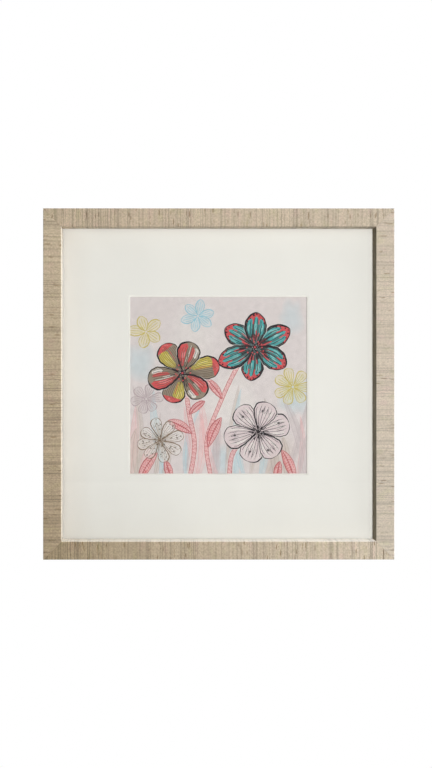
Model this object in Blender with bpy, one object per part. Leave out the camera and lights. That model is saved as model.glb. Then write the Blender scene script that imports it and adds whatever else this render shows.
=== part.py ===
"""A square framed print: mitred deep moulding, pane, window mat, print, backing board and wall hanger.

Metres, +Z up. The front faces -Y and the wall is the plane y = 0. The origin is on the wall, level with
the notch of the hanger that a wall hook carries, so the frame hangs below it.
"""

import math

import bmesh
import bpy
from mathutils import Matrix

MM = 0.001
GAP = 0.3 * MM

# Moulding
OUTER_SIDE = 400 * MM
FACE_WIDTH = 20.8 * MM
FRAME_DEPTH = 34 * MM
RECESS_DEPTH = 22 * MM
RABBET_WIDTH = 6 * MM
EDGE_RADIUS = 0.8 * MM
EDGE_STEPS = 3
BACK_WIDTH = FACE_WIDTH - RABBET_WIDTH
MITRE_SHIFT = GAP / math.sqrt(2)

# Sheets in the rabbet, from the front to the back
PANE_THICKNESS = 2 * MM
MAT_THICKNESS = 1.5 * MM
PRINT_THICKNESS = 0.4 * MM
BACKING_THICKNESS = 3 * MM
RABBET_SIDE = OUTER_SIDE - 2 * BACK_WIDTH
SHEET_PLAY = 0.9 * MM
SHEET_SIDE = RABBET_SIDE - 2 * SHEET_PLAY
SHEET_DROP = SHEET_PLAY - GAP

# Window of the mat, at its edge next to the print
WINDOW_SIDE = 205 * MM
WINDOW_RIGHT = 1.2 * MM
WINDOW_DROP = 1.8 * MM
PRINT_SIDE = 228 * MM

# Flexible points that hold the backing board
POINT_WIDTH = 9 * MM
POINT_THICKNESS = 0.5 * MM
POINT_BITE = 6 * MM
POINT_REACH = 13 * MM
POINT_SPACING = 190 * MM
POINT_TIP = 3 * MM

# Sawtooth hanger
HANG_DROP = 12 * MM
HANGER_THICKNESS = 0.8 * MM
HANGER_RISE = 1.4 * MM
HANGER_HEIGHT = 8 * MM
TOOTH_PITCH = 3 * MM
TOOTH_DEPTH = 1.5 * MM
TOOTH_COUNT = 8
JOGGLE_LENGTH = 1.8 * MM
FLANGE_LENGTH = 9 * MM
FLANGE_TRIM = 1 * MM

# Nails of the hanger
NAIL_HEAD_RADIUS = 1.8 * MM
NAIL_HEAD_HEIGHT = 0.8 * MM
NAIL_SHANK_RADIUS = 0.6 * MM
NAIL_LENGTH = 10 * MM
NAIL_POINT = 1.5 * MM
ROUND_STEPS = 16

# Wall bumpers
BUMPER_THICKNESS = 3 * MM
BUMPER_RADIUS = 5 * MM
BUMPER_ROUNDING = 0.6 * MM
BUMPER_INSET = 30 * MM
BUMPER_STEPS = 32

# Places along the depth and the height
BACK_Y = -(BUMPER_THICKNESS + GAP)
FRONT_Y = BACK_Y - FRAME_DEPTH
PANE_Y = FRONT_Y + RECESS_DEPTH + GAP
MAT_Y = PANE_Y + PANE_THICKNESS + GAP
PRINT_Y = MAT_Y + MAT_THICKNESS + GAP
BACKING_Y = PRINT_Y + PRINT_THICKNESS + GAP
POINT_Y = BACKING_Y + BACKING_THICKNESS + GAP
CENTRE_Z = HANG_DROP - OUTER_SIDE / 2
HALF = OUTER_SIDE / 2
RABBET_WALL = HALF - BACK_WIDTH
FLANGE_MIDDLE = TOOTH_COUNT * TOOTH_PITCH / 2 + JOGGLE_LENGTH + FLANGE_LENGTH / 2

# The moulding is drawn as the top rail and turned about the middle of the frame
RAIL_TURNS = {"rail_top": 0, "rail_right": 90, "rail_bottom": 180, "rail_left": 270}


def clear_scene():
    for old in list(bpy.data.objects):
        bpy.data.objects.remove(old, do_unlink=True)


def plain_material(name, colour, roughness, metallic=0.0):
    material = bpy.data.materials.new(name)
    material.use_nodes = True
    material.diffuse_color = (*colour, 1.0)
    shader = material.node_tree.nodes["Principled BSDF"]
    shader.inputs["Base Color"].default_value = (*colour, 1.0)
    shader.inputs["Roughness"].default_value = roughness
    shader.inputs["Metallic"].default_value = metallic
    return material


def add_object(name, mesh, material, parent=None):
    obj = bpy.data.objects.new(name, mesh)
    bpy.context.scene.collection.objects.link(obj)
    obj.parent = parent
    if material:
        mesh.materials.append(material)
    return obj


def finished_mesh(name, bm, smooth=False):
    """The mesh of bm, with its faces pointing out."""
    bmesh.ops.recalc_face_normals(bm, faces=bm.faces)
    mesh = bpy.data.meshes.new(name)
    bm.to_mesh(mesh)
    bm.free()
    if smooth:
        mesh.shade_smooth()
        mesh.set_sharp_from_angle(angle=math.radians(35))
    return mesh


def box_mesh(name, low, high):
    bm = bmesh.new()
    middle = [(a + b) / 2 for a, b in zip(low, high)]
    size = [b - a for a, b in zip(low, high)]
    place = Matrix.Translation(middle) @ Matrix.Diagonal((*size, 1.0))
    bmesh.ops.create_cube(bm, size=1.0, matrix=place)
    return finished_mesh(name, bm)


def loft_mesh(name, rings, smooth=False):
    """Joins rings of equally many points in order, and closes the first and last with flat caps."""
    bm = bmesh.new()
    loops = [[bm.verts.new(point) for point in ring] for ring in rings]
    for first, second in zip(loops, loops[1:]):
        for i in range(len(first)):
            j = (i + 1) % len(first)
            bm.faces.new((first[i], first[j], second[j], second[i]))
    bm.faces.new(loops[0])
    bm.faces.new(loops[-1])
    return finished_mesh(name, bm, smooth)


def turned_mesh(name, profile, steps):
    """Spins (radius, y) points, which start and end on the axis, about the Y axis."""
    bm = bmesh.new()
    line = [bm.verts.new((radius, y, 0.0)) for radius, y in profile]
    edges = [bm.edges.new(pair) for pair in zip(line, line[1:])]
    bmesh.ops.spin(
        bm, geom=line + edges, cent=(0, 0, 0), axis=(0, 1, 0), angle=2 * math.pi, steps=steps
    )
    bmesh.ops.remove_doubles(bm, verts=bm.verts, dist=1e-7)
    return finished_mesh(name, bm, smooth=True)


def cut(target, cutters):
    """Subtracts each cutter, which stays in the scene as a hidden wireframe."""
    for cutter in cutters:
        cutter.hide_render = True
        cutter.display_type = "WIRE"
        modifier = target.modifiers.new(cutter.name, "BOOLEAN")
        modifier.operation = "DIFFERENCE"
        modifier.solver = "EXACT"
        modifier.object = cutter


def arc(centre, radius, start, end, steps):
    angles = [start + (end - start) * i / steps for i in range(steps + 1)]
    return [(centre[0] + radius * math.cos(a), centre[1] + radius * math.sin(a)) for a in angles]


def rail_section():
    """Section points as (distance in from the outer edge, depth behind the front)."""
    r = EDGE_RADIUS
    outer_edge = arc((r, r), r, math.pi, 1.5 * math.pi, EDGE_STEPS)
    inner_edge = arc((FACE_WIDTH - r, r), r, 1.5 * math.pi, 2 * math.pi, EDGE_STEPS)
    rabbet = [(FACE_WIDTH, RECESS_DEPTH), (BACK_WIDTH, RECESS_DEPTH), (BACK_WIDTH, FRAME_DEPTH)]
    return outer_edge + inner_edge + rabbet + [(0.0, FRAME_DEPTH)]


def rail_mesh(name):
    """A mitred length of the moulding, as the top rail about the frame's middle."""
    rings = []
    for side in (-1, 1):
        ring = []
        for inset, depth in rail_section():
            ring.append((side * (HALF - inset - MITRE_SHIFT), FRONT_Y + depth, HALF - inset))
        rings.append(ring)
    return loft_mesh(name, rings, smooth=True)


def point_mesh(name):
    """A flat tab with a pointed end in the wood, as in the top rail at x = 0."""
    half = POINT_WIDTH / 2
    root = RABBET_WALL + POINT_BITE
    tip = RABBET_WALL - POINT_REACH
    outline = [
        (-half, root - POINT_TIP),
        (0.0, root),
        (half, root - POINT_TIP),
        (half, tip + POINT_TIP),
        (half - POINT_TIP, tip),
        (POINT_TIP - half, tip),
        (-half, tip + POINT_TIP),
    ]
    ends = (POINT_Y, POINT_Y + POINT_THICKNESS)
    return loft_mesh(name, [[(x, y, z) for x, z in outline] for y in ends])


def slot_mesh(name):
    """The cut that a point's root sits in."""
    half = POINT_WIDTH / 2 + GAP
    low = (-half, POINT_Y - GAP, RABBET_WALL - RABBET_WIDTH / 2)
    high = (half, POINT_Y + POINT_THICKNESS + GAP, RABBET_WALL + POINT_BITE + GAP)
    return box_mesh(name, low, high)


def make_rails(centre, wood):
    rails = {}
    for name, turn in RAIL_TURNS.items():
        rail = add_object(name, rail_mesh(name), wood, centre)
        rail.rotation_euler.y = math.radians(turn)
        rails[name] = rail
    return rails


def make_points(centre, rails, steel):
    """Two points in each rail, and the slots that they are pushed into."""
    number = 0
    for name, turn in RAIL_TURNS.items():
        slots = []
        for side in (-1, 1):
            number += 1
            place = Matrix.Rotation(math.radians(turn), 4, "Y")
            place = place @ Matrix.Translation((side * POINT_SPACING / 2, 0, 0))
            point = add_object(f"retaining_point_{number}", point_mesh("point"), steel, centre)
            point.matrix_local = place
            slot = add_object(f"point_slot_{number}", slot_mesh("slot"), None, centre)
            slot.matrix_local = place
            slots.append(slot)
        cut(rails[name], slots)


def sheet(name, front, thickness, side, material, parent, drop=SHEET_DROP):
    """A square sheet, let down by drop from the middle of the frame."""
    low = (-side / 2, front, -side / 2 - drop)
    high = (side / 2, front + thickness, side / 2 - drop)
    return add_object(name, box_mesh(name, low, high), material, parent)


def square_ring(half, y, right=0.0, drop=0.0):
    corners = ((-1, -1), (1, -1), (1, 1), (-1, 1))
    return [(right + half * sx, y, half * sz - drop) for sx, sz in corners]


def mat_mesh(name):
    """A board with a square window whose edge slopes at 45 degrees and opens to the front."""
    back_y = MAT_Y + MAT_THICKNESS
    rings = (
        square_ring(SHEET_SIDE / 2, MAT_Y, drop=SHEET_DROP),
        square_ring(SHEET_SIDE / 2, back_y, drop=SHEET_DROP),
        square_ring(WINDOW_SIDE / 2, back_y, WINDOW_RIGHT, WINDOW_DROP),
        square_ring(WINDOW_SIDE / 2 + MAT_THICKNESS, MAT_Y, WINDOW_RIGHT, WINDOW_DROP),
    )
    bm = bmesh.new()
    loops = [[bm.verts.new(point) for point in ring] for ring in rings]
    for k, first in enumerate(loops):
        second = loops[(k + 1) % len(loops)]
        for i in range(4):
            j = (i + 1) % 4
            bm.faces.new((first[i], first[j], second[j], second[i]))
    return finished_mesh(name, bm)


def make_sheets(centre, glass, board, paper, hardboard):
    sheet("glazing", PANE_Y, PANE_THICKNESS, SHEET_SIDE, glass, centre)
    add_object("window_mat", mat_mesh("window_mat"), board, centre)
    artwork = sheet("print_sheet", PRINT_Y, PRINT_THICKNESS, PRINT_SIDE, paper, centre, WINDOW_DROP)
    artwork.location.x = WINDOW_RIGHT
    sheet("backing_board", BACKING_Y, BACKING_THICKNESS, SHEET_SIDE, hardboard, centre)


def hanger_outline():
    """Stations along the hanger as (x, distance off the rail, lower edge, upper edge)."""
    half_teeth = TOOTH_COUNT * TOOTH_PITCH / 2
    stations = []
    for k in range(-TOOTH_COUNT, TOOTH_COUNT + 1):
        lower = -TOOTH_DEPTH if k % 2 else 0.0
        stations.append((k * TOOTH_PITCH / 2, HANGER_RISE, lower, HANGER_HEIGHT))
    for side in (-1, 1):
        bend = half_teeth + JOGGLE_LENGTH
        end = bend + FLANGE_LENGTH
        upper = HANGER_HEIGHT - FLANGE_TRIM
        stations.append((side * bend, 0.0, 0.0, HANGER_HEIGHT))
        stations.append((side * (end - FLANGE_TRIM), 0.0, 0.0, HANGER_HEIGHT))
        stations.append((side * end, 0.0, FLANGE_TRIM, upper))
    return sorted(stations)


def hanger_mesh(name):
    """A stamped strip: toothed and raised in the middle, flat against the rail at both ends."""
    rings = []
    for x, rise, lower, upper in hanger_outline():
        near = BACK_Y + GAP + rise
        far = near + HANGER_THICKNESS
        rings.append([(x, near, lower), (x, far, lower), (x, far, upper), (x, near, upper)])
    return loft_mesh(name, rings)


def drilled_hole(name, radius, start_y, end_y, x, z):
    bm = bmesh.new()
    place = Matrix.Translation((x, (start_y + end_y) / 2, z)) @ Matrix.Rotation(math.pi / 2, 4, "X")
    bmesh.ops.create_cone(
        bm,
        cap_ends=True,
        segments=ROUND_STEPS,
        radius1=radius,
        radius2=radius,
        depth=end_y - start_y,
        matrix=place,
    )
    return add_object(name, finished_mesh(name, bm), None)


def nail_mesh(name):
    """A nail along Y, whose head rests on y = 0 and whose point is at -Y."""
    rim = NAIL_HEAD_HEIGHT / 3
    profile = [
        (0.0, NAIL_HEAD_HEIGHT),
        (NAIL_HEAD_RADIUS * 0.6, NAIL_HEAD_HEIGHT * 0.9),
        (NAIL_HEAD_RADIUS, rim),
        (NAIL_HEAD_RADIUS, 0.0),
        (NAIL_SHANK_RADIUS, 0.0),
        (NAIL_SHANK_RADIUS, NAIL_POINT - NAIL_LENGTH),
        (0.0, -NAIL_LENGTH),
    ]
    return turned_mesh(name, profile, ROUND_STEPS)


def make_hanger(top_rail, steel):
    """The hanger and its nails, in holes drilled through the hanger's ends into the top rail."""
    hanger = add_object("hanger", hanger_mesh("hanger"), steel)
    flange_y = BACK_Y + GAP + HANGER_THICKNESS
    nail_z = HANGER_HEIGHT / 2
    hole_radius = NAIL_SHANK_RADIUS + GAP
    hole_bottom = flange_y - NAIL_LENGTH
    for side, x in (("left", -FLANGE_MIDDLE), ("right", FLANGE_MIDDLE)):
        nail = add_object(f"hanger_nail_{side}", nail_mesh("nail"), steel)
        nail.location = (x, flange_y + GAP, nail_z)
        hole = drilled_hole(f"nail_hole_{side}", hole_radius, hole_bottom, 0.0, x, nail_z)
        cut(hanger, [hole])
        cut(top_rail, [hole])


def bumper_mesh(name):
    """A round pad along Y, from y = 0 to its thickness."""
    r = BUMPER_ROUNDING
    profile = [
        (0.0, BUMPER_THICKNESS),
        (BUMPER_RADIUS - r, BUMPER_THICKNESS),
        (BUMPER_RADIUS, BUMPER_THICKNESS - r),
        (BUMPER_RADIUS, 0.0),
        (0.0, 0.0),
    ]
    return turned_mesh(name, profile, BUMPER_STEPS)


def make_bumpers(centre, rubber):
    for side, sign in (("left", -1), ("right", 1)):
        bumper = add_object(f"bumper_{side}", bumper_mesh("bumper"), rubber, centre)
        bumper.location = (sign * (HALF - BUMPER_INSET), -BUMPER_THICKNESS, BACK_WIDTH / 2 - HALF)


def main():
    clear_scene()
    wood = plain_material("woven_wrap", (0.46, 0.39, 0.29), 0.75)
    glass = plain_material("clear_pane", (0.9, 0.95, 0.93), 0.03)
    board = plain_material("mat_board", (0.8, 0.78, 0.72), 0.9)
    paper = plain_material("print_paper", (0.69, 0.63, 0.61), 0.8)
    hardboard = plain_material("hardboard", (0.3, 0.19, 0.1), 0.7)
    steel = plain_material("zinc_plated_steel", (0.62, 0.61, 0.58), 0.35, 1.0)
    rubber = plain_material("bumper_rubber", (0.05, 0.05, 0.05), 0.6)

    centre = bpy.data.objects.new("frame_centre", None)
    bpy.context.scene.collection.objects.link(centre)
    centre.location.z = CENTRE_Z

    rails = make_rails(centre, wood)
    make_points(centre, rails, steel)
    make_sheets(centre, glass, board, paper, hardboard)
    make_hanger(rails["rail_top"], steel)
    make_bumpers(centre, rubber)


main()
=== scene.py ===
import math
import random

import bmesh
import bpy
import numpy as np
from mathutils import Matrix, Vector
from mathutils.geometry import delaunay_2d_cdt


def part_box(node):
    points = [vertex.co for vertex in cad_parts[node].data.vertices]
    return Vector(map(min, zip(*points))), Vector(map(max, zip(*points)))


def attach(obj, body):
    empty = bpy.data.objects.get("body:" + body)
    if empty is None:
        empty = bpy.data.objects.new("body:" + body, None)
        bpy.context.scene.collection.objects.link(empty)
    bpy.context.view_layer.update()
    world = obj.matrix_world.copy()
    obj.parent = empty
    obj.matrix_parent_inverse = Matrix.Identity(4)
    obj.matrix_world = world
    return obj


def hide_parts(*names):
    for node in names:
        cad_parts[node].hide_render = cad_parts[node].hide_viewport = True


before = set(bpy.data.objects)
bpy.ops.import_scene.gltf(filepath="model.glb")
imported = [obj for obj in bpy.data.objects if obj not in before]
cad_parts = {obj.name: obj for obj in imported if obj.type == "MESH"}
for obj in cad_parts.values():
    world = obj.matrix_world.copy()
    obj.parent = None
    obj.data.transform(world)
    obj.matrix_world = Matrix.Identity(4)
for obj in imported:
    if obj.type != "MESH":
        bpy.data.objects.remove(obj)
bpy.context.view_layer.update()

MM = 0.001
MERGE_MM = 0.001

# Places and sizes read from the frame, in metres
OUTER_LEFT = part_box("rail_left")[0].x
OUTER_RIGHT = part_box("rail_right")[1].x
OUTER_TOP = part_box("rail_top")[1].z
OUTER_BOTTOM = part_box("rail_bottom")[0].z
FRONT_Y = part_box("rail_top")[0].y
PANE_FRONT_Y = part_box("glazing")[0].y
OUTER_SIDE = OUTER_RIGHT - OUTER_LEFT
CENTRE = Vector(((OUTER_LEFT + OUTER_RIGHT) / 2, FRONT_Y, (OUTER_TOP + OUTER_BOTTOM) / 2))

# The photograph's framing, in its own pixels
PHOTO_WIDTH, PHOTO_HEIGHT = 432, 768
SIDE_PIXELS = 351.5
CENTRE_PIXEL = (218.85, 384.0)
PIXELS_PER_METRE = SIDE_PIXELS / OUTER_SIDE

# The camera stands a little left of the frame's middle and above it
CAMERA_DISTANCE = 1.39
CAMERA_LEFT = 0.076
CAMERA_UP = 0.025
TURN_SHARE = 0.06
SENSOR_MM = 36.0


def srgb(red, green, blue):
    """Linear colour of an 8-bit screen colour."""
    def channel(value):
        value /= 255
        return value / 12.92 if value <= 0.04045 else ((value + 0.055) / 1.055) ** 2.4
    return (channel(red), channel(green), channel(blue), 1.0)


def add_object(name, data):
    """A new object in the scene, made of the data."""
    item = bpy.data.objects.new(name, data)
    bpy.context.scene.collection.objects.link(item)
    return item


def mesh_object(name, bm):
    """A new object in the scene, made of the mesh that bm holds."""
    mesh = bpy.data.meshes.new(name)
    bm.to_mesh(mesh)
    bm.free()
    return add_object(name, mesh)


# The range that a noise texture's values mostly keep to
NOISE_LOW, NOISE_HIGH = 0.3, 0.7


class Shader:
    """A node material under construction."""

    def __init__(self, name):
        self.material = bpy.data.materials.new(name)
        self.material.use_nodes = True
        self.tree = self.material.node_tree
        self.surface = self.tree.nodes["Principled BSDF"]
        self.output = self.tree.nodes["Material Output"]

    def add(self, kind, **settings):
        node = self.tree.nodes.new(kind)
        for key, value in settings.items():
            setattr(node, key, value)
        return node

    def feed(self, socket, value):
        if hasattr(value, "is_output"):
            self.tree.links.new(value, socket)
        else:
            socket.default_value = value

    def set(self, name, value):
        self.feed(self.surface.inputs[name], value)

    def position(self):
        """The x, y and z sockets of the object's own coordinates, in metres."""
        where = self.add("ShaderNodeTexCoord")
        parts = self.add("ShaderNodeSeparateXYZ")
        self.feed(parts.inputs[0], where.outputs["Object"])
        return parts.outputs

    def math(self, operation, first, second=0.0, third=0.0):
        node = self.add("ShaderNodeMath", operation=operation)
        for socket, value in zip(node.inputs, (first, second, third)):
            self.feed(socket, value)
        return node.outputs[0]

    def vector(self, x, y, z):
        node = self.add("ShaderNodeCombineXYZ")
        for socket, value in zip(node.inputs, (x, y, z)):
            self.feed(socket, value)
        return node.outputs[0]

    def facing_back(self):
        """How far the face looks to the back: 1 on the back, -1 on the front, 0 on the sides."""
        shape = self.add("ShaderNodeNewGeometry")
        parts = self.add("ShaderNodeSeparateXYZ")
        self.feed(parts.inputs[0], shape.outputs["True Normal"])
        return parts.outputs[1]

    def noise(self, where, detail=2.0):
        node = self.add("ShaderNodeTexNoise")
        self.feed(node.inputs["Vector"], where)
        node.inputs["Scale"].default_value = 1.0
        node.inputs["Detail"].default_value = detail
        return node.outputs[0]

    def stretch(self, value, low, high, to_low=0.0, to_high=1.0):
        node = self.add("ShaderNodeMapRange", clamp=True)
        for socket, number in zip(node.inputs, (value, low, high, to_low, to_high)):
            self.feed(socket, number)
        return node.outputs[0]

    def vary(self, noise, low=0.0, high=1.0):
        """A noise spread over low to high."""
        return self.stretch(noise, NOISE_LOW, NOISE_HIGH, low, high)

    def mix(self, factor, first, second, blend="MIX"):
        node = self.add("ShaderNodeMix", data_type="RGBA", blend_type=blend)
        colours = [socket for socket in node.inputs if socket.type == "RGBA"]
        self.feed(node.inputs[0], factor)
        self.feed(colours[0], first)
        self.feed(colours[1], second)
        return node.outputs[2]

    def shade(self, colour, value):
        """The colour times a grey value."""
        node = self.add("ShaderNodeVectorMath", operation="SCALE")
        self.feed(node.inputs[0], colour)
        self.feed(node.inputs["Scale"], value)
        return node.outputs[0]

    def bump(self, height, strength, distance):
        node = self.add("ShaderNodeBump")
        self.feed(node.inputs["Height"], height)
        node.inputs["Strength"].default_value = strength
        node.inputs["Distance"].default_value = distance
        self.set("Normal", node.outputs[0])


def grain(shader, along, across, along_mm, across_mm, seed, detail=2.0):
    """Noise whose cells measure along_mm by across_mm."""
    where = shader.vector(
        shader.math("MULTIPLY", along, 1 / (along_mm * MM)),
        shader.math("MULTIPLY", across, 1 / (across_mm * MM)),
        seed,
    )
    return shader.noise(where, detail)


# The wrap and the wood under it
WRAP_SLUB = srgb(116, 94, 62)
# Colours painted on the rails' inner sides: pale as painted light where light falls on them, dark as painted
# shade where they are in shade
LIP_PAINTED_LIGHT = srgb(222, 212, 195)
LIP_SHADED = srgb(102, 93, 69)
GREEN_TINT = (0.97, 1.0, 0.93, 1.0)
PINK_TINT = (1.03, 0.98, 1.02, 1.0)
RAW_WOOD = srgb(186, 152, 112)
RAW_WOOD_DARK = srgb(150, 116, 80)
THREAD_MM = 1.15
PALE_THREAD, DARK_THREAD = 1.09, 0.72
DASH_MM = 2.2
SLUB_MM = 13.0
SLUB_SHARE = 0.7

# What each noise adds to the rail's seed, so that no two are alike
DASH_SEED, SLUB_SEED, BROAD_SEED, WEFT_SEED, TINT_SEED, FIBRE_SEED = 3.1, 17.3, 5.7, 8.3, 11.9, 31.0
RAIL_SEED_STEP = 40.0

# How far a noise moves on from one thread to the next
DASH_STEP, SLUB_STEP = 3.7, 2.9

# How far inside the outer side, and before the pane, a place counts as inside and as in the rabbet
INSIDE_MARGIN = 1.0 * MM
RABBET_MARGIN = 0.2 * MM

# Rail, the axis along it, the wrap's colours at its two ends, the lip's colour and share, and the contrast.
# The ends paint light and shade across the frame, darkest near the lower left corner and palest on the right
# rail; the lip's colour paints light on the inner sides of the left and bottom rails, a little on the top
# rail's, and shade on the right rail's
WRAPS = (
    ("rail_top", "x", (srgb(196, 179, 155), srgb(183, 171, 153)), LIP_PAINTED_LIGHT, 0.12, 0.95),
    ("rail_bottom", "x", (srgb(151, 135, 108), srgb(192, 179, 160)), LIP_PAINTED_LIGHT, 0.4, 1.05),
    ("rail_left", "z", (srgb(160, 143, 118), srgb(181, 166, 142)), LIP_PAINTED_LIGHT, 0.4, 1.05),
    ("rail_right", "z", (srgb(205, 194, 178), srgb(189, 177, 161)), LIP_SHADED, 0.9, 0.75),
)


def rail_zones(shader, x, y, z):
    """The rail's inner side that shows, and its wood that is left bare, as shares from 0 to 1."""
    back = shader.facing_back()
    height = shader.math("SUBTRACT", z, CENTRE.z)
    reach = shader.math("MAXIMUM", shader.math("ABSOLUTE", x), shader.math("ABSOLUTE", height))
    inside = shader.math("LESS_THAN", reach, OUTER_SIDE / 2 - INSIDE_MARGIN)
    sideways = shader.stretch(shader.math("ABSOLUTE", back), 0.9, 0.4)
    behind_pane = shader.math("GREATER_THAN", y, PANE_FRONT_Y - RABBET_MARGIN)
    in_rabbet = shader.math("MULTIPLY", inside, behind_pane)
    bare = shader.math("MAXIMUM", shader.math("GREATER_THAN", back, 0.5), in_rabbet)
    return shader.math("MULTIPLY", inside, sideways), bare


def wrap_material(rail, along_axis, ends, lip_paint, lip_paint_share, contrast, seed):
    """Woven wrap whose threads cross the rail, with light and shade painted into its colour along it and on
    its inner side; bare wood on the back and in the rabbet.
    """
    shader = Shader(f"woven_wrap_{rail}")
    x, y, z = shader.position()
    along, over = (x, z) if along_axis == "x" else (z, x)
    across = shader.math("ADD", over, y)
    across_mm = shader.math("DIVIDE", across, MM)

    # Number the threads, which wander a little, round each one off and dye a few of them dark
    wander = grain(shader, along, across, 9, 14, seed)
    along_mm = shader.math("ADD", shader.math("DIVIDE", along, MM), wander)
    count = shader.math("DIVIDE", along_mm, THREAD_MM)
    thread = shader.math("FLOOR", count)
    offset = shader.math("SUBTRACT", shader.math("SUBTRACT", count, thread), 0.5)
    ridge = shader.math("SUBTRACT", 1.0, shader.math("MULTIPLY", shader.math("POWER", offset, 2.0), 4.0))
    chance = shader.add("ShaderNodeTexWhiteNoise", noise_dimensions="1D")
    shader.feed(chance.inputs["W"], shader.math("ADD", thread, seed))
    dye = shader.math("POWER", chance.outputs["Value"], 3.0)

    def along_threads(step, length_mm, thread_seed, detail):
        """Noise that runs along each thread and differs from thread to thread."""
        return shader.noise(shader.vector(
            shader.math("MULTIPLY", thread, step),
            shader.math("DIVIDE", across_mm, length_mm),
            seed + thread_seed,
        ), detail)

    # The cloth's tone, about 1
    dash = along_threads(DASH_STEP, DASH_MM, DASH_SEED, 2.0)
    broad = grain(shader, along, across, 14, 60, seed + BROAD_SEED)
    weft = grain(shader, across, along, 0.9, 30, seed + WEFT_SEED)
    value = shader.stretch(dye, 0.0, 1.0, PALE_THREAD, DARK_THREAD)
    for tone in (
        shader.vary(dash, 0.82, 1.18),
        shader.stretch(ridge, 0.0, 0.6, 0.86, 1.02),
        shader.vary(broad, 0.95, 1.05),
        shader.vary(weft, 0.96, 1.04),
    ):
        value = shader.math("MULTIPLY", value, tone)
    value = shader.math("MULTIPLY_ADD", value, contrast, 1 - contrast)

    # The cloth's colour from end to end, painted light and shade that is darkest near the lower left corner
    # and palest on the right rail, with faint tints and dark slubs
    low_end = OUTER_LEFT if along_axis == "x" else OUTER_BOTTOM
    cloth = shader.mix(shader.stretch(along, low_end, low_end + OUTER_SIDE), *ends)
    tint = grain(shader, along, across, 9, 20, seed + TINT_SEED)
    cloth = shader.mix(shader.stretch(tint, 0.45, 0.3), cloth, GREEN_TINT, "MULTIPLY")
    cloth = shader.mix(shader.stretch(tint, 0.55, 0.7), cloth, PINK_TINT, "MULTIPLY")
    slub = along_threads(SLUB_STEP, SLUB_MM, SLUB_SEED, 1.0)
    cloth = shader.mix(shader.stretch(slub, 0.64, 0.76, 0.0, SLUB_SHARE * contrast), cloth, WRAP_SLUB)

    # The inner side takes the lip's colour, painted light on the left, bottom and top rails and painted
    # shade on the right rail, and bare wood shows where no cloth is
    inner_side, bare = rail_zones(shader, x, y, z)
    painted_lip = shader.math("MULTIPLY", inner_side, lip_paint_share)
    cloth = shader.mix(painted_lip, cloth, lip_paint)
    value = shader.math("MULTIPLY_ADD", shader.math("SUBTRACT", 1.0, value), painted_lip, value)
    fibre = grain(shader, across, along, 1.2, 60, seed + FIBRE_SEED, detail=3.0)
    wood = shader.mix(shader.vary(fibre), RAW_WOOD_DARK, RAW_WOOD)
    shader.set("Base Color", shader.mix(bare, shader.shade(cloth, value), wood))
    shader.set("Roughness", shader.stretch(dash, 0.2, 0.8, 0.62, 0.85))
    shader.set("Specular IOR Level", 0.3)
    relief = shader.math("ADD", shader.math("MULTIPLY", ridge, 0.6), shader.math("MULTIPLY", dash, 0.4))
    shader.bump(relief, strength=0.5, distance=0.12 * MM)
    return shader.material


MAT_FACE = srgb(239, 237, 233)
MAT_CORE = srgb(249, 247, 243)
# Tint of the shade painted on the mat
MAT_PAINTED_SHADE = (0.89, 0.87, 0.86, 1.0)

# The edge of the mat that shows, in metres inside the frame's outer edge, and how far from it the mat is dim
# with painted shade: along the left edge, under the top edge and towards the lower left corner
MAT_INSET = 0.0208
SHADE_FROM_LEFT = 0.036
SHADE_FROM_TOP = 0.009
SHADE_TOP_SHARE = 0.6
SHADE_FROM_CORNER = 0.2
SHADE_CORNER_VALUE = 0.94


def mat_material():
    """Off-white board with a white core that shows in the bevel, and shade painted along its left and top
    edges and towards its lower left corner.
    """
    shader = Shader("mat_board")
    x, _, z = shader.position()
    tooth = grain(shader, x, z, 0.5, 0.5, seed=1.0, detail=3.0)
    cloud = grain(shader, x, z, 40, 40, seed=4.0)
    left, bottom, top = OUTER_LEFT + MAT_INSET, OUTER_BOTTOM + MAT_INSET, OUTER_TOP - MAT_INSET
    corner = left + bottom
    # Painted shade along the left edge, under the top edge and towards the lower left corner
    shade_left = shader.stretch(x, left, left + SHADE_FROM_LEFT, 1.0, 0.0)
    shade_top = shader.stretch(z, top - SHADE_FROM_TOP, top, 0.0, SHADE_TOP_SHARE)
    from_corner = shader.math("ADD", x, z)
    shade_corner = shader.stretch(from_corner, corner, corner + SHADE_FROM_CORNER, SHADE_CORNER_VALUE, 1.0)
    value = shader.math("MULTIPLY", shader.vary(tooth, 0.985, 1.01), shader.vary(cloud, 0.99, 1.01))
    value = shader.math("MULTIPLY", value, shade_corner)
    flat = shader.math("GREATER_THAN", shader.math("ABSOLUTE", shader.facing_back()), 0.9)
    colour = shader.mix(flat, MAT_CORE, MAT_FACE)
    painted_shade = shader.math("MULTIPLY", flat, shader.math("MAXIMUM", shade_left, shade_top))
    colour = shader.mix(painted_shade, colour, MAT_PAINTED_SHADE, "MULTIPLY")
    shader.set("Base Color", shader.shade(colour, value))
    shader.set("Roughness", shader.vary(tooth, 0.85, 0.95))
    shader.set("Specular IOR Level", 0.2)
    shader.bump(tooth, strength=0.2, distance=0.05 * MM)
    return shader.material


PAPER = srgb(220, 211, 211)
INK_LAYER = "Ink"


def print_material():
    """Matt paper under thin inks, whose colours are held on the sheet's corners."""
    shader = Shader("printed_paper")
    x, _, z = shader.position()
    inks = shader.add("ShaderNodeVertexColor", layer_name=INK_LAYER)
    tooth = grain(shader, x, z, 0.7, 0.7, seed=2.0, detail=3.0)
    wash = grain(shader, x, z, 7, 7, seed=6.0, detail=4.0)
    value = shader.math("MULTIPLY", shader.vary(tooth, 0.97, 1.03), shader.vary(wash, 0.95, 1.05))
    shader.set("Base Color", shader.shade(inks.outputs["Color"], value))
    shader.set("Roughness", shader.vary(tooth, 0.7, 0.8))
    shader.set("Specular IOR Level", 0.25)
    shader.bump(tooth, strength=0.15, distance=0.05 * MM)
    return shader.material


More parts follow.
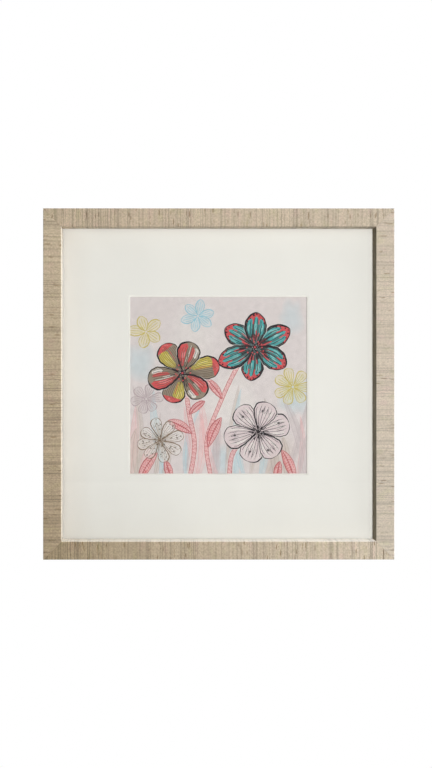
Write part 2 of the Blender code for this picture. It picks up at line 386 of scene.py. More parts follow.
PANE_TINT = (0.985, 0.99, 0.985, 1.0)
PANE_ROUGHNESS = 0.03
MIRRORED_HEAD_ON = 0.03
MIRRORED_AT_SLANT = 0.6


def pane_material():
    """Clear pane: it lets everything through and mirrors more at a slant."""
    shader = Shader("clear_pane")
    clear = shader.add("ShaderNodeBsdfTransparent")
    clear.inputs["Color"].default_value = PANE_TINT
    mirror = shader.add("ShaderNodeBsdfGlossy")
    mirror.inputs["Roughness"].default_value = PANE_ROUGHNESS
    slant = shader.add("ShaderNodeLayerWeight")
    slant.inputs["Blend"].default_value = 0.5
    rise = shader.math("POWER", slant.outputs["Facing"], 5.0)
    both = shader.add("ShaderNodeMixShader")
    shader.feed(both.inputs[0], shader.math("MULTIPLY_ADD", rise, MIRRORED_AT_SLANT, MIRRORED_HEAD_ON))
    shader.feed(both.inputs[1], clear.outputs[0])
    shader.feed(both.inputs[2], mirror.outputs[0])
    shader.tree.nodes.remove(shader.surface)
    shader.feed(shader.output.inputs["Surface"], both.outputs[0])
    return shader.material


BOARD_DARK = srgb(120, 88, 58)
BOARD_PALE = srgb(152, 116, 80)
BOARD_SPECK = srgb(84, 60, 40)
ZINC_DARK = srgb(176, 174, 168)
ZINC_PALE = srgb(205, 203, 196)
RUBBER_DARK = srgb(38, 37, 36)
RUBBER_PALE = srgb(56, 55, 53)


def hardboard_material():
    """Pressed board: short fibres with dark specks among them."""
    shader = Shader("hardboard")
    x, _, z = shader.position()
    fibre = grain(shader, x, z, 1.5, 0.8, seed=3.0, detail=5.0)
    cloud = grain(shader, x, z, 30, 45, seed=9.0, detail=3.0)
    speck = grain(shader, x, z, 0.6, 0.6, seed=13.0)
    colour = shader.mix(shader.vary(fibre), BOARD_DARK, BOARD_PALE)
    colour = shader.mix(shader.stretch(speck, 0.66, 0.74, 0.0, 0.6), colour, BOARD_SPECK)
    shader.set("Base Color", shader.shade(colour, shader.vary(cloud, 0.9, 1.1)))
    shader.set("Roughness", shader.vary(fibre, 0.55, 0.75))
    shader.bump(fibre, strength=0.4, distance=0.1 * MM)
    return shader.material


def steel_material():
    """Zinc-plated steel, brushed along x and cloudy."""
    shader = Shader("zinc_plated_steel")
    x, _, z = shader.position()
    brush = grain(shader, x, z, 6, 0.25, seed=2.0, detail=3.0)
    patch = grain(shader, x, z, 5, 5, seed=7.0, detail=3.0)
    shader.set("Base Color", shader.mix(shader.vary(patch), ZINC_DARK, ZINC_PALE))
    shader.set("Metallic", 1.0)
    shader.set("Roughness", shader.vary(brush, 0.28, 0.45))
    shader.bump(brush, strength=0.1, distance=0.03 * MM)
    return shader.material


def rubber_material():
    """Matt black rubber with fine specks."""
    shader = Shader("bumper_rubber")
    x, _, z = shader.position()
    speck = grain(shader, x, z, 0.4, 0.4, seed=5.0, detail=3.0)
    shader.set("Base Color", shader.mix(shader.vary(speck), RUBBER_DARK, RUBBER_PALE))
    shader.set("Roughness", shader.vary(speck, 0.6, 0.8))
    shader.bump(speck, strength=0.3, distance=0.05 * MM)
    return shader.material


def dress(names, material):
    for name in names:
        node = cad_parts[name]
        node.data.materials.clear()
        node.data.materials.append(material)


def dress_frame():
    """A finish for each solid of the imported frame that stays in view."""
    for number, (rail, *looks) in enumerate(WRAPS):
        dress([rail], wrap_material(rail, *looks, RAIL_SEED_STEP * number))
    dress(["window_mat"], mat_material())
    dress(["glazing"], pane_material())
    dress(["backing_board"], hardboard_material())
    metal = [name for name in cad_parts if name.startswith(("retaining_point", "hanger"))]
    dress(metal, steel_material())
    dress(["bumper_left", "bumper_right"], rubber_material())


GLUE_MM = 0.26
GLUE_INSET_MM = 0.02
SAME_DIRECTION = 0.99
# Painted shade: the glue is darker on the left, like the wrap's painted shade
GLUE_LEFT = srgb(162, 143, 117)
GLUE_RIGHT = srgb(190, 175, 155)


def mitre_glue(name, rail, side):
    """The glue line in a mitre: a copy of the rail's end face, as thick as the gap between the rails."""
    facing = Vector((side, 0, 1 if rail == "rail_bottom" else -1)).normalized()
    bm = bmesh.new()
    bm.from_mesh(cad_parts[rail].data)
    bm.normal_update()
    others = [face for face in bm.faces if face.normal.dot(facing) < SAME_DIRECTION]
    bmesh.ops.delete(bm, geom=others, context="FACES")
    bmesh.ops.remove_doubles(bm, verts=bm.verts, dist=MERGE_MM * MM)
    edges = [edge for edge in bm.edges if not edge.is_boundary]
    bmesh.ops.dissolve_edges(bm, edges=edges)
    (end,) = bm.faces
    near = end.verts[:]
    far = [bm.verts.new(vert.co + facing * GLUE_MM * MM) for vert in near]
    bm.faces.new(far)
    for i in range(len(near)):
        bm.faces.new((near[i - 1], near[i], far[i], far[i - 1]))
    bmesh.ops.translate(bm, verts=bm.verts, vec=facing * GLUE_INSET_MM * MM)
    bmesh.ops.recalc_face_normals(bm, faces=bm.faces)
    glue = mesh_object(name, bm)
    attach(glue, "root")
    return glue


def fill_mitres():
    """Glue lines in all four mitres, in the tone that the wrap has there, darker on the left as painted
    shade.
    """
    shader = Shader("mitre_glue")
    x, _, _ = shader.position()
    shader.set("Base Color", shader.mix(shader.stretch(x, OUTER_LEFT, OUTER_RIGHT), GLUE_LEFT, GLUE_RIGHT))
    shader.set("Roughness", 0.8)
    for level in ("top", "bottom"):
        for side, word in ((-1, "left"), (1, "right")):
            glue = mitre_glue(f"mitre_glue_{level}_{word}", f"rail_{level}", side)
            glue.data.materials.append(shader.material)


# Inks of the print
CHARCOAL = srgb(52, 47, 52)
SLATE = srgb(92, 112, 112)
TEAL = srgb(84, 168, 170)
PALE_TEAL = srgb(168, 214, 212)
CORAL = srgb(214, 88, 92)
DEEP_CORAL = srgb(178, 74, 82)
ROSE = srgb(228, 148, 150)
BLUSH = srgb(232, 196, 196)
MUSTARD = srgb(204, 188, 92)
PALE_MUSTARD = srgb(226, 214, 140)
TAUPE = srgb(150, 137, 122)
DARK_TAUPE = srgb(104, 92, 82)
PETAL_WHITE = srgb(232, 228, 224)
PETAL_PINK = srgb(220, 203, 206)
BROWN_LINE = srgb(138, 118, 100)
GHOST_YELLOW = srgb(222, 212, 158)
GHOST_YELLOW_LINE = srgb(200, 184, 104)
GHOST_BLUE = srgb(188, 212, 220)
GHOST_BLUE_LINE = srgb(152, 196, 212)
GHOST_MAUVE = srgb(200, 188, 190)
GHOST_MAUVE_LINE = srgb(184, 168, 172)
GHOST_TAN = srgb(204, 190, 180)

DRAWING_SEED = 7

# Half the side of the inked field, in mm, and the height at which stems and leaves start
SHEET_MM = 113.0
ROOT_V = -112

# A thin dark line beside the design, along the right edge of the mat's window: a painted shadow of the mat's
# edge
MAT_EDGE_SHADOW_U = 102.0
MAT_EDGE_SHADOW_HEIGHTS = (-104, -35, 35, 104)

# The hand: how much a pen line's width, a dot's radius and a wash's radius vary, as factors
PEN_SWAY = (0.88, 1.12)
DOT_SWAY = (0.85, 1.15)
WASH_SWAY = (0.8, 1.2)
WASH_CORNERS = 14
WASH_RINGS = (1.0, 0.88, 0.75, 0.6, 0.42)

# How far a petal strays from the even bloom: heading and bend in degrees, and length as a factor
PETAL_TURN = (-5, 5)
PETAL_BEND = (-18, 18)
PETAL_SWAY = (0.9, 1.06)
HEART_SHARE = 0.06

# A stem's two long lines and three rows of hatches, as shares of its width
LANES = (-0.42, 0.42)
HATCHES = (-0.26, 0.0, 0.26)
HATCH_REACH = 0.16

# A blade's wavy edge, and the number of steps in which its widest place is looked for
RUFFLE_SHARE = 0.03
RUFFLE_WAVES = 4.5
WIDTH_STEPS = 60


def polar(degrees, radius):
    angle = math.radians(degrees)
    return Vector((math.cos(angle), math.sin(angle))) * radius


def curve(points, steps):
    """A smooth line through the points."""
    spots = [Vector(point) for point in points]
    spots = [2 * spots[0] - spots[1]] + spots + [2 * spots[-1] - spots[-2]]
    path = []
    for a, b, c, d in zip(spots, spots[1:], spots[2:], spots[3:]):
        for i in range(steps):
            t = i / steps
            bend = (2 * a - 5 * b + 4 * c - d) * t ** 2 + (3 * b - a - 3 * c + d) * t ** 3
            path.append(b + ((c - a) * t + bend) / 2)
    path.append(spots[-2])
    return path


class Blade:
    """A petal or leaf: a spine bent by some degrees, and a width that grows and narrows along it."""

    def __init__(self, root, degrees, length, width, bend, rise=0.9, fall=4.0, blunt=0.5):
        self.root = Vector(root)
        self.heading = math.radians(degrees)
        self.length = length
        self.width = width
        self.bend = math.radians(bend)
        self.rise, self.fall, self.blunt = rise, fall, blunt
        self.ruffle_start = random.uniform(0, math.tau)
        self.widest = 1.0
        self.widest = max(self.share(step / WIDTH_STEPS) for step in range(WIDTH_STEPS + 1))

    def share(self, t):
        """The width at share t of the length, as a share of the widest."""
        return t ** self.rise * (1 - t ** self.fall) ** self.blunt / self.widest

    def at(self, t, s):
        """The point at share t of the length and share s of the half width."""
        first = self.heading - self.bend / 2
        turned = first + self.bend * t
        reach = self.length / self.bend
        spine = Vector((math.sin(turned) - math.sin(first), math.cos(first) - math.cos(turned))) * reach
        wave = math.tau * RUFFLE_WAVES * t + self.ruffle_start + 2 * s
        ruffle = 1 + RUFFLE_SHARE * math.sin(wave)
        half = self.width / 2 * self.share(t) * ruffle
        return self.root + spine + Vector((-math.sin(turned), math.cos(turned))) * half * s

    def edge(self, s, start=0.0, end=1.0, steps=22):
        """A line along the blade, with closer points at its ends."""
        shares = [(1 - math.cos(math.pi * i / steps)) / 2 for i in range(steps + 1)]
        return [self.at(start + (end - start) * share, s) for share in shares]

    def outline(self, s=1.0):
        return self.edge(s) + self.edge(-s)[-2:0:-1]

    def cell(self, s_low, s_high, start, end, steps=8):
        """A rounded field between two lines along the blade."""
        middle = (s_low + s_high) / 2
        inset = (end - start) * 0.12
        low = self.edge(s_low, start + inset, end - inset, steps)
        high = self.edge(s_high, start + inset, end - inset, steps)
        return [self.at(start, middle)] + low + [self.at(end, middle)] + high[::-1]


class Drawing:
    """
    Inked shapes in the order of painting, each (colour, cover, outline).
    Places are in mm from the sheet's middle, and cover is the ink's share over what lies under it.
    """

    def __init__(self):
        self.shapes = []

    def fill(self, colour, points, cover=1.0):
        kept = np.clip(np.array(points), -SHEET_MM, SHEET_MM)
        self.shapes.append((colour, cover, kept))

    def line(self, colour, points, width, cover=1.0, ends=(0.35, 0.35)):
        """A pen line that is pressed less at its ends."""
        last = len(points) - 1
        left, right = [], []
        for i, point in enumerate(points):
            before, after = points[max(i - 1, 0)], points[min(i + 1, last)]
            across = (after - before).orthogonal().normalized()
            press = min(1.0, ends[0] + 4 * i / last, ends[1] + 4 * (1 - i / last))
            half = width / 2 * press * random.uniform(*PEN_SWAY)
            left.append(point + across * half)
            right.append(point - across * half)
        self.fill(colour, left + right[::-1], cover)

    def dot(self, colour, centre, radius, cover=1.0, steps=9):
        turn = random.uniform(0, 360)
        self.fill(colour, [
            Vector(centre) + polar(turn + 360 * i / steps, radius * random.uniform(*DOT_SWAY))
            for i in range(steps)
        ], cover)

    def wash(self, colour, centre, radius, cover):
        """A blot of thinned paint, deeper towards its middle."""
        sways = [random.uniform(*WASH_SWAY) for _ in range(WASH_CORNERS)]
        stretch = random.uniform(0.6, 1.0)
        for size in WASH_RINGS:
            points = []
            for i, sway in enumerate(sways):
                spot = polar(360 * i / WASH_CORNERS, radius * sway * size)
                points.append(Vector(centre) + Vector((spot.x * stretch, spot.y)))
            self.fill(colour, curve(points + points[:1], 3)[:-1], cover)

    def streaks(self, colour, blade, count, width, field, cover):
        """Short strokes of the brush in a field of the blade, as shares (side, side, start, end)."""
        s_low, s_high, start, end = field
        for _ in range(count):
            s = random.uniform(s_low, s_high)
            first = random.uniform(start, start + 0.6 * (end - start))
            last = min(end, first + random.uniform(0.25, 0.6) * (end - start))
            self.line(colour, blade.edge(s, first, last, 5), width * random.uniform(0.6, 1.3), cover)

    def veins(self, colour, blade, count, width, start, end, reach=0.8):
        """Lines along the blade, spread over the share reach of its width."""
        for i in range(count):
            s = reach * (2 * i / (count - 1) - 1)
            last = end - 0.12 * abs(s) - random.uniform(0, 0.1)
            self.line(colour, blade.edge(s, start + random.uniform(0, 0.06), last, 8), width)

    def contour(self, colour, blade, width, cover=1.0):
        """The pen's outline, heavier along one side."""
        self.line(colour, blade.edge(1.0), width, cover)
        self.line(colour, blade.edge(-1.0), width * 0.6, cover)


# Fields and dots of a teal petal, as shares of its half width and of its length
TEAL_CELLS = ((-0.8, -0.36, 0.28, 0.82), (-0.24, 0.2, 0.32, 0.88), (0.34, 0.8, 0.26, 0.8))
RIM_DOTS = ((0.7, 0.84), (0.8, 0.72), (0.9, 0.5), (0.95, 0.0), (0.9, -0.5), (0.8, -0.74), (0.68, -0.84))


def teal_petal(drawing, blade):
    drawing.fill(PETAL_WHITE, blade.outline(1.14), cover=0.5)
    drawing.fill(SLATE, blade.outline())
    drawing.streaks(DARK_TAUPE, blade, 8, width=1.3, field=(-0.9, 0.9, 0.1, 0.9), cover=0.5)
    drawing.fill(CORAL, blade.cell(-0.94, 0.94, 0.62, 0.985), cover=0.9)
    for s_low, s_high, start, end in TEAL_CELLS:
        drawing.fill(TEAL, blade.cell(s_low, s_high, start, end))
        inner = (s_low + 0.1, s_high - 0.1, start + 0.1, end - 0.1)
        drawing.streaks(PALE_TEAL, blade, 4, width=1.1, field=inner, cover=0.55)
        foot = (s_low + 0.1, s_high - 0.1, start, end - 0.1)
        drawing.streaks(SLATE, blade, 2, width=0.8, field=foot, cover=0.5)
    drawing.streaks(CORAL, blade, 5, width=1.5, field=(-0.6, 0.6, 0.04, 0.5), cover=0.85)
    drawing.streaks(CHARCOAL, blade, 7, width=1.3, field=(-0.8, 0.8, 0.03, 0.5), cover=0.8)
    drawing.veins(CHARCOAL, blade, 6, width=0.8, start=0.05, end=0.88, reach=0.86)
    for t, s in RIM_DOTS:
        drawing.dot(CHARCOAL, blade.at(t, s), random.uniform(0.7, 1.15))
    drawing.contour(CHARCOAL, blade, width=2.0)


def mustard_petal(drawing, blade):
    drawing.fill(PETAL_WHITE, blade.outline(1.14), cover=0.5)
    drawing.fill(TAUPE, blade.outline())
    drawing.streaks(DARK_TAUPE, blade, 7, width=1.0, field=(-0.9, 0.9, 0.1, 0.8), cover=0.35)
    drawing.fill(MUSTARD, blade.cell(-0.05, 0.92, 0.2, 0.84))
    drawing.streaks(PALE_MUSTARD, blade, 7, width=1.2, field=(0.0, 0.8, 0.25, 0.8), cover=0.6)
    drawing.fill(CORAL, blade.cell(-0.95, 0.95, 0.8, 0.99), cover=0.9)
    drawing.streaks(ROSE, blade, 4, width=1.0, field=(-0.6, 0.6, 0.84, 0.97), cover=0.6)
    drawing.streaks(CORAL, blade, 3, width=1.0, field=(-0.7, 0.2, 0.3, 0.8), cover=0.7)
    drawing.streaks(CHARCOAL, blade, 5, width=0.8, field=(-0.8, 0.8, 0.03, 0.4), cover=0.8)
    drawing.veins(DARK_TAUPE, blade, 11, width=0.55, start=0.08, end=0.94)
    drawing.contour(CHARCOAL, blade, width=1.7)


def coral_petal(drawing, blade):
    drawing.fill(PETAL_WHITE, blade.outline(1.14), cover=0.5)
    drawing.fill(TAUPE, blade.outline())
    drawing.streaks(DARK_TAUPE, blade, 6, width=1.0, field=(-0.9, 0.9, 0.1, 0.9), cover=0.35)
    drawing.fill(CORAL, blade.cell(0.2, 0.94, 0.12, 0.92), cover=0.95)
    drawing.fill(CORAL, blade.cell(-0.5, -0.15, 0.3, 0.86), cover=0.85)
    drawing.streaks(ROSE, blade, 6, width=1.1, field=(0.25, 0.85, 0.2, 0.85), cover=0.6)
    drawing.fill(PETAL_WHITE, blade.cell(-0.86, -0.5, 0.5, 0.86), cover=0.85)
    drawing.streaks(PETAL_WHITE, blade, 3, width=0.8, field=(-0.1, 0.25, 0.2, 0.9), cover=0.7)
    drawing.streaks(CHARCOAL, blade, 6, width=0.9, field=(-0.8, 0.8, 0.03, 0.45), cover=0.8)
    drawing.veins(DARK_TAUPE, blade, 9, width=0.6, start=0.06, end=0.92)
    drawing.contour(CHARCOAL, blade, width=2.0)


def pen_petal(drawing, blade):
    drawing.fill(PETAL_WHITE, blade.outline(1.12), cover=0.5)
    drawing.fill(PETAL_PINK, blade.outline(), cover=0.85)
    drawing.streaks(PETAL_WHITE, blade, 9, width=1.8, field=(-0.8, 0.8, 0.15, 0.92), cover=0.45)
    drawing.streaks(GHOST_MAUVE, blade, 5, width=1.4, field=(-0.9, 0.9, 0.05, 0.6), cover=0.5)
    drawing.streaks(CHARCOAL, blade, 5, width=0.8, field=(-0.6, 0.6, 0.02, 0.3), cover=0.8)
    drawing.veins(CHARCOAL, blade, 6, width=0.5, start=0.04, end=0.88, reach=0.8)
    for s in (-0.36, 0.0, 0.36):
        fork = blade.at(random.uniform(0.5, 0.62), s)
        for side in (-0.17, 0.17):
            drawing.line(CHARCOAL, [fork, blade.at(0.72, s + side * 0.7), blade.at(0.87, s + side)], 0.4)
    drawing.dot(CHARCOAL, blade.at(0.66, random.uniform(-0.3, 0.3)), 1.5, cover=0.8, steps=7)
    drawing.contour(CHARCOAL, blade, width=1.5)


def fine_petal(drawing, blade):
    drawing.fill(PETAL_WHITE, blade.outline(1.05), cover=0.4)
    drawing.streaks(GHOST_TAN, blade, 4, width=1.2, field=(-0.8, 0.8, 0.1, 0.9), cover=0.5)
    drawing.veins(BROWN_LINE, blade, 4, width=0.32, start=0.05, end=0.9, reach=0.6)
    for _ in range(9):
        spot = blade.at(random.uniform(0.4, 0.92), random.uniform(-0.8, 0.8))
        drawing.dot(DARK_TAUPE, spot, random.uniform(0.4, 1.0), cover=0.8, steps=6)
    drawing.contour(BROWN_LINE, blade, width=1.2)


def ghost_petal(ground, ink):
    """Painter of a faint petal in one light colour."""
    def paint(drawing, blade):
        drawing.fill(ground, blade.outline(), cover=0.35)
        drawing.streaks(ground, blade, 3, width=1.6, field=(-0.7, 0.7, 0.1, 0.9), cover=0.4)
        drawing.veins(ink, blade, 3, width=0.6, start=0.1, end=0.88, reach=0.5)
        drawing.contour(ink, blade, width=1.2)
    return paint


def bloom(drawing, centre, paints, radius, turn, width, squash, **form):
    """Petals round a centre, every second one in front of its neighbours, and shorter up and down."""
    centre = Vector(centre)
    for i in sorted(range(len(paints)), key=lambda place: place % 2):
        degrees = turn + 360 * i / len(paints) + random.uniform(*PETAL_TURN)
        upright = abs(math.sin(math.radians(degrees)))
        length = radius * random.uniform(*PETAL_SWAY) * (1 - (1 - squash) * upright)
        root = centre + polar(degrees, radius * HEART_SHARE)
        petal = Blade(root, degrees, length, radius * width, random.uniform(*PETAL_BEND), **form)
        paints[i](drawing, petal)


def stamens(drawing, centre, radius, count, stalk, tip):
    """Stalks round a bloom's heart, each with a dot at its end."""
    centre = Vector(centre)
    for i in range(count):
        degrees = 360 * i / count + random.uniform(-8, 8)
        end = centre + polar(degrees, radius * random.uniform(0.7, 1.2))
        bent = (centre + end) / 2 + polar(degrees + 90, radius * 0.08)
        drawing.line(stalk, [centre, bent, end], 0.5)
        drawing.dot(tip, end, 0.9)
    drawing.dot(stalk, centre, radius * 0.28, steps=12)
    drawing.dot(tip, centre, radius * 0.14)


def stem(drawing, points, width):
    """A hatched stem along a smooth line through the points."""
    path = curve(points, 9)
    drawing.line(PETAL_WHITE, path, width * 1.4, cover=0.4, ends=(1.0, 0.5))
    drawing.line(ROSE, path, width, cover=0.55, ends=(1.0, 0.5))
    for side in LANES:
        lane = [here + (there - here).orthogonal().normalized() * side * width
                for here, there in zip(path, path[1:])]
        drawing.line(DEEP_CORAL, lane, 0.8, cover=0.6, ends=(1.0, 0.4))
    for here, there in zip(path[1:], path[2:]):
        along = (there - here).normalized()
        across = along.orthogonal()
        for side in HATCHES:
            middle = here + across * side * width + along * random.uniform(-1.4, 1.4)
            reach = across * width * HATCH_REACH + along * width * HATCH_REACH
            drawing.line(DEEP_CORAL, [middle - reach, middle + reach], 1.0, cover=0.6)
            drawing.dot(BLUSH, middle + along * 2.0, 0.8, cover=0.8, steps=6)


def leaf(drawing, root, degrees, length, width, bend):
    """A ribbed leaf with pale dots."""
    blade = Blade(root, degrees, length, width, bend, rise=0.8, fall=1.6, blunt=0.9)
    drawing.fill(PETAL_WHITE, blade.outline(1.15), cover=0.35)
    drawing.fill(ROSE, blade.outline(), cover=0.6)
    drawing.streaks(CORAL, blade, 4, width=1.4, field=(-0.8, 0.8, 0.1, 0.9), cover=0.3)
    for i in range(11):
        t = 0.1 + 0.075 * i
        rib = [blade.at(t, -0.85), blade.at(t + 0.05, 0.0), blade.at(t + 0.02, 0.85)]
        drawing.line(DEEP_CORAL, rib, 0.9, cover=0.7)
        drawing.dot(BLUSH, blade.at(t + 0.03, random.choice((-0.4, 0.4))), 0.9, cover=0.7, steps=6)
    drawing.line(DEEP_CORAL, blade.edge(0.0, 0.02, 0.95, 8), 0.9, cover=0.8)
    drawing.contour(DEEP_CORAL, blade, width=1.2, cover=0.8)


# Pale blots all over the sheet: colour, centre, radius and cover
WASHES = (
    (GHOST_BLUE, (84, 78), 24, 0.1),
    (GHOST_BLUE, (-92, 24), 24, 0.12),
    (BLUSH, (-20, -60), 34, 0.1),
    (GHOST_BLUE, (88, -14), 24, 0.14),
    (PETAL_WHITE, (14, -22), 36, 0.12),
    (PETAL_WHITE, (-30, 60), 44, 0.08),
    (GHOST_TAN, (66, -86), 32, 0.1),
    (GHOST_BLUE, (6, -88), 20, 0.14),
    (GHOST_TAN, (-88, -86), 26, 0.1),
)

# Stems: the points from foot to bloom, and the width
STEMS = (
    (((-34, ROOT_V), (-28, -70), (-34, -34), (-38, -6)), 5.5),
    (((-8, ROOT_V), (-14, -66), (2, -20), (20, 18), (32, 34)), 5.0),
    (((12, ROOT_V), (16, -80), (34, -58)), 5.5),
)

# Leaves: root, heading in degrees, length, width, and bend in degrees
LEAVES = (
    ((-31, -56), 152, 32, 11, 26),
    ((-12, -72), 66, 38, 11, -22),
    ((4, -16), 128, 30, 9, 20),
    ((-92, ROOT_V), 58, 40, 11, -30),
    ((88, ROOT_V), 112, 40, 11, 24),
    ((68, ROOT_V), 82, 24, 9, -20),
    ((-56, ROOT_V), 104, 26, 9, 22),
    ((-34, -34), 40, 24, 8, -24),
)

# Centres of the four inked blooms, and forms of petals
FINE_AT, STRIPED_AT, TEAL_AT, PALE_AT = (-68, -64), (-42, 14), (42, 44), (46, -54)
POINTED = {"rise": 0.75, "fall": 1.8, "blunt": 0.75}
ROUND = {"rise": 0.8, "fall": 2.6, "blunt": 0.6}
FULL = {"rise": 0.85, "fall": 3.0, "blunt": 0.55}


# Ground and line of each kind of faint blade
GHOST_INKS = (
    (GHOST_TAN, GHOST_MAUVE_LINE),
    (GHOST_MAUVE, GHOST_MAUVE_LINE),
    (GHOST_TAN, BROWN_LINE),
    (GHOST_BLUE, GHOST_BLUE_LINE),
    (BLUSH, ROSE),
)
GHOST_BLADES = 30
GHOST_FIRST = -106
GHOST_SPACING = 7.2


def ghost_foliage(drawing):
    """Faint blades along the foot of the sheet, behind everything else."""
    for i in range(GHOST_BLADES):
        root = (GHOST_FIRST + GHOST_SPACING * i + random.uniform(-3, 3), ROOT_V)
        colour, ink = random.choice(GHOST_INKS)
        blade = Blade(root, 90 + random.uniform(-20, 20), random.uniform(40, 118), random.uniform(5, 11),
                      random.uniform(-45, 45), rise=0.6, fall=1.4, blunt=0.9)
        drawing.fill(colour, blade.outline(), cover=0.4)
        drawing.streaks(colour, blade, 3, width=1.2, field=(-0.6, 0.6, 0.1, 0.9), cover=0.4)
        drawing.line(ink, blade.edge(0.0, 0.0, 0.95, 10), 0.6, cover=0.4)
        drawing.contour(ink, blade, width=0.8, cover=0.35)


def draw_botany():
    """A generic bed of garden flowers in pen and thin paint."""
    random.seed(DRAWING_SEED)
    drawing = Drawing()
    for colour, centre, radius, cover in WASHES:
        drawing.wash(colour, centre, radius, cover)
    ghost_foliage(drawing)

    yellow = ghost_petal(GHOST_YELLOW, GHOST_YELLOW_LINE)
    blue = ghost_petal(GHOST_BLUE, GHOST_BLUE_LINE)
    mauve = ghost_petal(GHOST_MAUVE, GHOST_MAUVE_LINE)
    bloom(drawing, (-24, 80), [blue] * 6, radius=20, turn=20, width=0.5, squash=0.9, **POINTED)
    bloom(drawing, (86, -2), [yellow] * 7, radius=22, turn=50, width=0.5, squash=0.9)
    bloom(drawing, (-84, -16), [mauve] * 6, radius=19, turn=10, width=0.55, squash=0.8)
    bloom(drawing, (-84, 62), [yellow] * 5, radius=20, turn=35, width=0.6, squash=0.9, **POINTED)

    for points, width in STEMS:
        stem(drawing, points, width)
    for root, degrees, length, width, bend in LEAVES:
        leaf(drawing, root, degrees, length, width, bend)

    bloom(drawing, FINE_AT, [fine_petal] * 8, radius=26, turn=12, width=0.48, squash=0.9)
    stamens(drawing, FINE_AT, radius=6, count=9, stalk=BROWN_LINE, tip=DARK_TAUPE)
    striped_petals = [mustard_petal, coral_petal] * 3
    bloom(drawing, STRIPED_AT, striped_petals, radius=42, turn=8, width=0.62, squash=0.88, **ROUND)
    stamens(drawing, STRIPED_AT, radius=9, count=12, stalk=CHARCOAL, tip=CORAL)
    bloom(drawing, TEAL_AT, [teal_petal] * 6, radius=44, turn=24, width=0.56, squash=0.9, **POINTED)
    stamens(drawing, TEAL_AT, radius=9, count=12, stalk=CHARCOAL, tip=CORAL)
    bloom(drawing, PALE_AT, [pen_petal] * 6, radius=40, turn=12, width=0.66, squash=0.86, **FULL)
    stamens(drawing, PALE_AT, radius=8, count=12, stalk=CHARCOAL, tip=CHARCOAL)
    # A painted shadow of the mat's edge, inked as a thin dark line
    mat_edge_shadow = [Vector((MAT_EDGE_SHADOW_U, v)) for v in MAT_EDGE_SHADOW_HEIGHTS]
    drawing.line(DARK_TAUPE, mat_edge_shadow, 1.0, cover=0.4, ends=(1.0, 1.0))
    return drawing.shapes


def spots_inside(spots, outline):
    """Numbers of the spots that lie within the outline, by the even-odd rule."""
    corners = np.array(outline)
    boxed = (spots > corners.min(axis=0)) & (spots < corners.max(axis=0))
    near = np.flatnonzero(boxed.all(axis=1))
    u, v = spots[near].T
    odd = np.zeros(len(near), bool)
    for (u1, v1), (u2, v2) in zip(corners, np.roll(corners, -1, axis=0)):
        if v1 != v2:
            crossed = (v1 > v) != (v2 > v)
            odd ^= crossed & (u < u1 + (v - v1) * (u2 - u1) / (v2 - v1))
    return near[odd]


def part_sheet(half, shapes):
    """The places and triangles of a square sheet that is parted along the shapes' outlines."""
    corners = [(-half, -half), (half, -half), (half, half), (-half, half)]
    points, edges = [], []
    for outline in [corners] + [outline for _, _, outline in shapes]:
        first, count = len(points), len(outline)
        points.extend(Vector(point) for point in outline)
        edges.extend((first + i, first + (i + 1) % count) for i in range(count))
    places, _, triangles, *_ = delaunay_2d_cdt(points, edges, [], 0, MERGE_MM, False)
    return places, triangles


def ink_triangles(places, triangles, shapes):
    """Each triangle's colour, after all the shapes that cover it."""
    spots = np.array(places)[np.array(triangles)].mean(axis=1)
    colours = np.tile(PAPER, (len(triangles), 1))
    for colour, cover, outline in shapes:
        hit = spots_inside(spots, outline)
        colours[hit] += (np.array(colour) - colours[hit]) * cover
    return colours


def ink_face(face, inks, colour):
    for loop in face.loops:
        loop[inks] = colour


def make_print(shapes):
    """A closed sheet in the place of print_sheet, with the shapes on its front."""
    low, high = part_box("print_sheet")
    middle = (low + high) / 2
    places, triangles = part_sheet((high.x - low.x) / 2 / MM, shapes)
    colours = ink_triangles(places, triangles, shapes)

    bm = bmesh.new()
    inks = bm.loops.layers.float_color.new(INK_LAYER)
    verts = [bm.verts.new((middle.x + u * MM, low.y, middle.z + v * MM)) for u, v in places]
    for triangle, colour in zip(triangles, colours):
        ink_face(bm.faces.new([verts[i] for i in triangle]), inks, colour)
    front = set(bm.faces)
    rim = [edge for edge in bm.edges if edge.is_boundary]
    walls = bmesh.ops.extrude_edge_only(bm, edges=rim)["geom"]
    back = [item for item in walls if isinstance(item, bmesh.types.BMVert)]
    bmesh.ops.translate(bm, verts=back, vec=(0, high.y - low.y, 0))
    bmesh.ops.contextual_create(bm, geom=[edge for edge in bm.edges if edge.is_boundary])
    for face in set(bm.faces) - front:
        ink_face(face, inks, PAPER)
    bmesh.ops.recalc_face_normals(bm, faces=bm.faces)
    sheet = mesh_object("botanical_print", bm)
    sheet.data.materials.append(print_material())
    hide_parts("print_sheet")
    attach(sheet, "root")


def make_camera():
    """Level camera at the photograph's distance; part of its sideways offset is a turn, the rest a shift."""
    camera = bpy.data.cameras.new("camera")
    holder = add_object("camera", camera)
    camera.sensor_width = SENSOR_MM
    camera.lens = PIXELS_PER_METRE * CAMERA_DISTANCE * SENSOR_MM / PHOTO_HEIGHT
    holder.location = CENTRE + Vector((-CAMERA_LEFT, -CAMERA_DISTANCE, CAMERA_UP))
    turn = math.atan(TURN_SHARE * CAMERA_LEFT / CAMERA_DISTANCE)
    holder.rotation_euler = (math.pi / 2, 0, -turn)
    shift_right = (1 - TURN_SHARE) * CAMERA_LEFT * PIXELS_PER_METRE - (CENTRE_PIXEL[0] - PHOTO_WIDTH / 2)
    shift_up = (CENTRE_PIXEL[1] - PHOTO_HEIGHT / 2) - CAMERA_UP * PIXELS_PER_METRE
    camera.shift_x = shift_right / PHOTO_HEIGHT
    camera.shift_y = shift_up / PHOTO_HEIGHT
    bpy.context.scene.camera = holder


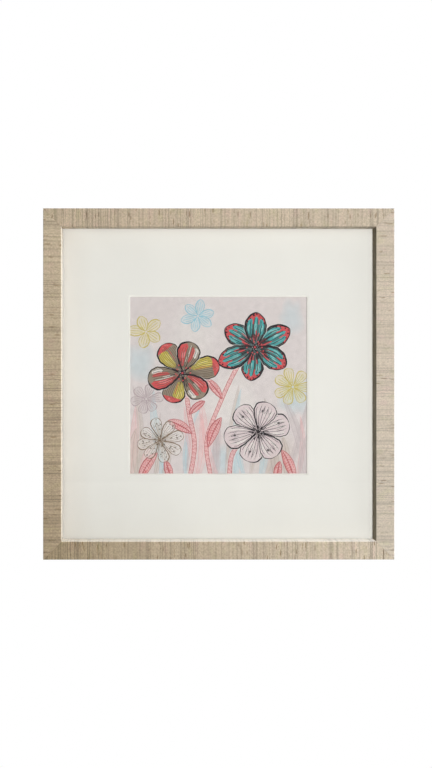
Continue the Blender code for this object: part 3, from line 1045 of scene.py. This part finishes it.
def area_light(name, offset, size, power, colour, rails=(), link="INCLUDE"):
    """
    A soft lamp aimed at the frame's middle.
    With rails it lights only them, or with EXCLUDE all else, and isn't mirrored anywhere.
    """
    light = bpy.data.lights.new(name, "AREA")
    light.shape = "RECTANGLE"
    light.size, light.size_y = size
    light.energy = power
    light.color = colour
    holder = add_object(name, light)
    holder.location = CENTRE + Vector(offset)
    holder.rotation_euler = (-Vector(offset)).to_track_quat("-Z", "Y").to_euler()
    holder.visible_glossy = not rails
    if rails:
        lit = bpy.data.collections.new(f"lit_by_{name}")
        holder.light_linking.receiver_collection = lit
        for rail in rails:
            lit.objects.link(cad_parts[rail])
        for entry in lit.collection_objects:
            entry.light_linking.link_state = link


WARM = (1.0, 0.98, 0.95)
NEUTRAL = (1.0, 0.99, 0.985)
COOL = (0.69, 0.8, 1.0)
SHADED_RAILS = ("rail_right", "rail_top")


def make_lights():
    """Soft lamps: place from the frame's middle, sides in metres, power in watts and colour."""
    area_light("key", (0.15, -1.05, 0.1), (0.13, 0.3), 10, NEUTRAL, SHADED_RAILS, "EXCLUDE")
    area_light("key_upper_right", (0.55, -1.1, 0.5), (0.4, 0.4), 15, NEUTRAL, SHADED_RAILS)
    area_light("side", (2.0, -0.04, 0.1), (0.08, 0.8), 14, WARM)
    area_light("top", (0.2, -0.14, 2.0), (0.8, 0.2), 8, WARM)
    area_light("edge_right", (1.8, -0.14, 0.3), (0.05, 0.6), 47, COOL, ("rail_left",))
    area_light("edge_top", (0.1, -0.14, 1.8), (0.6, 0.05), 51, COOL, ("rail_bottom",))
    area_light("behind", (0.6, 1.8, 0.9), (1.4, 1.4), 34, WARM)
    area_light("behind_left", (-1.6, 0.9, 0.4), (0.8, 0.8), 10, WARM)


WHITE = (1.0, 1.0, 1.0, 1.0)
FLOOR_COLOUR = (0.8, 0.8, 0.79, 1.0)
FLOOR_DROP = 0.5
FLOOR_REACH = 6.0
AMBIENT_COLOUR = (1.0, 0.99, 0.97, 1.0)
AMBIENT_STRENGTH = 0.11


def white_to_camera(tree, lit, output):
    """Shows white to the camera, and gives the rest of the scene the dimmer light of lit."""
    seen = tree.nodes.new("ShaderNodeLightPath")
    plain = tree.nodes.new("ShaderNodeBackground" if output.type == "OUTPUT_WORLD" else "ShaderNodeEmission")
    plain.inputs["Color"].default_value = WHITE
    both = tree.nodes.new("ShaderNodeMixShader")
    tree.links.new(seen.outputs["Is Camera Ray"], both.inputs[0])
    tree.links.new(lit, both.inputs[1])
    tree.links.new(plain.outputs[0], both.inputs[2])
    tree.links.new(both.outputs[0], output.inputs["Surface"])


def make_world():
    """White surroundings with dim light."""
    world = bpy.data.worlds.new("studio")
    bpy.context.scene.world = world
    world.use_nodes = True
    ambient = world.node_tree.nodes["Background"]
    ambient.inputs["Color"].default_value = AMBIENT_COLOUR
    ambient.inputs["Strength"].default_value = AMBIENT_STRENGTH
    white_to_camera(world.node_tree, ambient.outputs[0], world.node_tree.nodes["World Output"])
    bpy.context.scene.view_settings.view_transform = "Standard"


def make_floor():
    """A plain pale floor, some way below the hanging frame."""
    bm = bmesh.new()
    bmesh.ops.create_grid(bm, x_segments=1, y_segments=1, size=FLOOR_REACH)
    floor = mesh_object("floor", bm)
    floor.location.z = OUTER_BOTTOM - FLOOR_DROP
    shader = Shader("floor_pale")
    shader.set("Base Color", FLOOR_COLOUR)
    shader.set("Roughness", 0.9)
    white_to_camera(shader.tree, shader.surface.outputs[0], shader.output)
    floor.data.materials.append(shader.material)


make_camera()
make_lights()
make_world()
make_floor()
dress_frame()
fill_mitres()
make_print(draw_botany())
